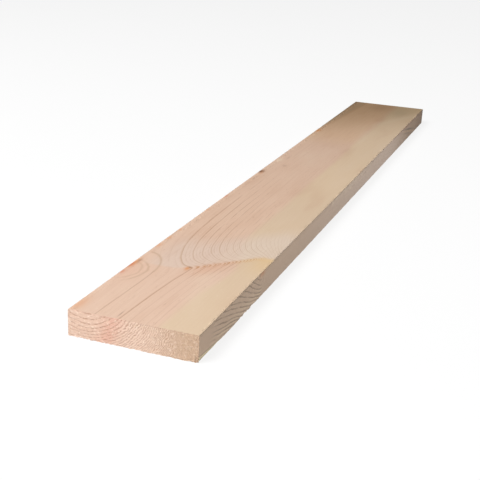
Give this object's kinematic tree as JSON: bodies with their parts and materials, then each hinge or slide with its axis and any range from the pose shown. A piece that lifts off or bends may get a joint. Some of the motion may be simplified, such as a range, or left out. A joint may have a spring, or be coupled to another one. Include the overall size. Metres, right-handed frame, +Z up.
{
  "type": "timber lumber plank",
  "caption": "Straight softwood plank of dressed rectangular section with lightly eased long edges and square-sawn ends, for framing, decking or shelving.",
  "frame": {"origin": "centre of the bottom face, on the surface that the plank lies on", "axes": "+X along the grain and the length, +Y across the width, +Z up through the thickness"},
  "size_m": [1.524, 0.184, 0.038],
  "materials": {
    "softwood": "bare planed softwood, pinkish heartwood beside creamy sapwood, with rough-sawn ends"
  },
  "bodies": {
    "root": {"plank": "softwood"}
  },
  "joints": []
}
